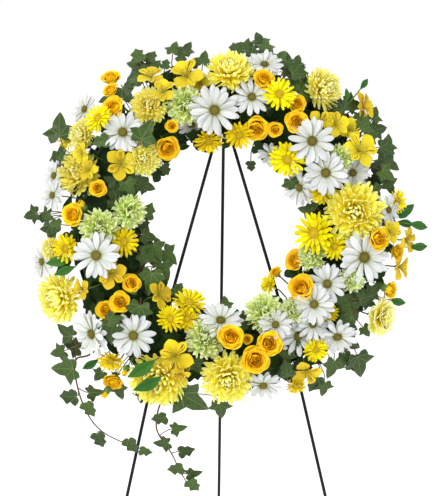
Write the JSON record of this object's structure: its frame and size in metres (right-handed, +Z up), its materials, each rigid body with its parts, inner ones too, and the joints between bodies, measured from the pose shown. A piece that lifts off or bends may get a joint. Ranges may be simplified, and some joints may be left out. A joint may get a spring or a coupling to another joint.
{
  "type": "funeral wreath",
  "caption": "Round funeral wreath of yellow and white flowers with trailing ivy, on a tall folding wire easel.",
  "frame": {"origin": "on the floor, under the middle of the whole outline", "axes": "+Z up, the wreath faces -Y, +X to the right seen from the front"},
  "size_m": [0.5946, 0.5176, 1.3109],
  "materials": {
    "wire": "gloss paint",
    "tray": "moulded",
    "foam": "open cell foam",
    "white_petals": "soft petal",
    "lemon_petals": "soft petal",
    "gold_petals": "soft petal",
    "cream_petals": "soft petal",
    "lime_florets": "soft petal",
    "rose_petals": "velvety petal",
    "foliage": "waxy leaf"
  },
  "bodies": {
    "front": {"alstroemeria_bottom": "gold_petals", "alstroemeria_far_right": "gold_petals", "alstroemeria_left": "gold_petals", "alstroemeria_lower_left": "gold_petals", "alstroemeria_lower_right": "gold_petals", "alstroemeria_right": "gold_petals", "alstroemeria_top_left": "gold_petals", "carnation_right": "cream_petals", "chrysanthemum_right": "cream_petals", "chrysanthemum_top": "cream_petals", "chrysanthemum_upper_right": "cream_petals", "chrysanthemums_bottom": "cream_petals", "chrysanthemums_inner_left": "cream_petals", "chrysanthemums_left": "cream_petals", "chrysanthemums_upper_left": "cream_petals", "daisies_left": "white_petals", "daisies_lower_left": "white_petals", "daisies_lower_right": "white_petals", "daisies_right": "white_petals", "daisies_right_front": "white_petals", "daisies_top": "white_petals", "daisies_top_left": "white_petals", "daisies_top_right": "white_petals", "easel_crossbar": "wire", "easel_hinge_pin": "wire", "easel_ledge_left": "wire", "easel_ledge_right": "wire", "easel_leg_left": "wire", "easel_leg_right": "wire", "easel_top_hook": "wire", "green_head_top": "lime_florets", "green_head_upper_right": "lime_florets", "green_heads_bottom": "lime_florets", "green_heads_left": "lime_florets", "green_heads_right": "lime_florets", "ivy_left": "foliage", "ivy_lower_right": "foliage", "ivy_right": "foliage", "ivy_strand_bottom": "foliage", "ivy_strand_left": "foliage", "ivy_top_left": "foliage", "ivy_top_right": "foliage", "ivy_upper_left": "foliage", "roses_bottom": "rose_petals", "roses_inner_left": "rose_petals", "roses_inner_right": "rose_petals", "roses_left": "rose_petals", "roses_lower_left": "rose_petals", "roses_right": "rose_petals", "roses_top_left": "rose_petals", "roses_top_right": "rose_petals", "wreath_foam": "foam", "wreath_tray": "tray", "yellow_daisies_left": "lemon_petals", "yellow_daisies_lower_left": "lemon_petals", "yellow_daisies_lower_right": "lemon_petals", "yellow_daisies_right": "lemon_petals", "yellow_daisies_top": "lemon_petals", "yellow_daisies_top_left": "lemon_petals"},
    "back_leg": {"easel_leg_back": "wire"}
  },
  "joints": [
    {"name": "back_leg_fold", "type": "hinge", "parent": "front", "child": "back_leg", "pos_m": [-0.00393, -0.05299, 1.1542], "axis": [1, 0, 0], "range_deg": [-20, 0]}
  ]
}
